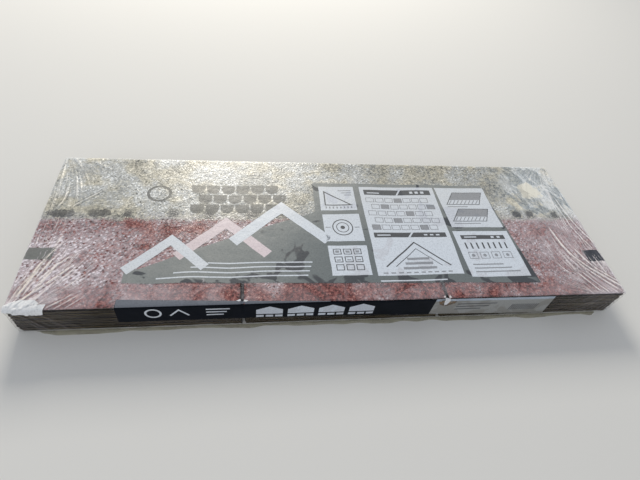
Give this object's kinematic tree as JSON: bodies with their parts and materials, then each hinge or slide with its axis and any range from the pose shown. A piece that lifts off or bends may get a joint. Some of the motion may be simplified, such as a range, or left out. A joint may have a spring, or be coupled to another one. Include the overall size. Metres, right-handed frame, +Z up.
{
  "type": "asphalt shingle bundle",
  "caption": "Flat stack of slotted-tab asphalt shingles with a granule face, closed in clear, part-printed shrink film with welded lips at its foot and ends.",
  "frame": {"origin": "centre of the bundle's footprint, on the surface it lies on", "axes": "+X along the shingles, +Y towards their uncut back edge, -Y towards the tabs and the front seam, +Z up"},
  "size_m": [1.0034, 0.3434, 0.0613],
  "materials": {
    "asphalt_shingle": "matte",
    "shrink_film": "gloss",
    "film_print_dark": "gloss",
    "film_print_pale": "gloss"
  },
  "bodies": {
    "root": {"shingles": "asphalt_shingle", "film_wrap": "shrink_film"}
  },
  "joints": []
}
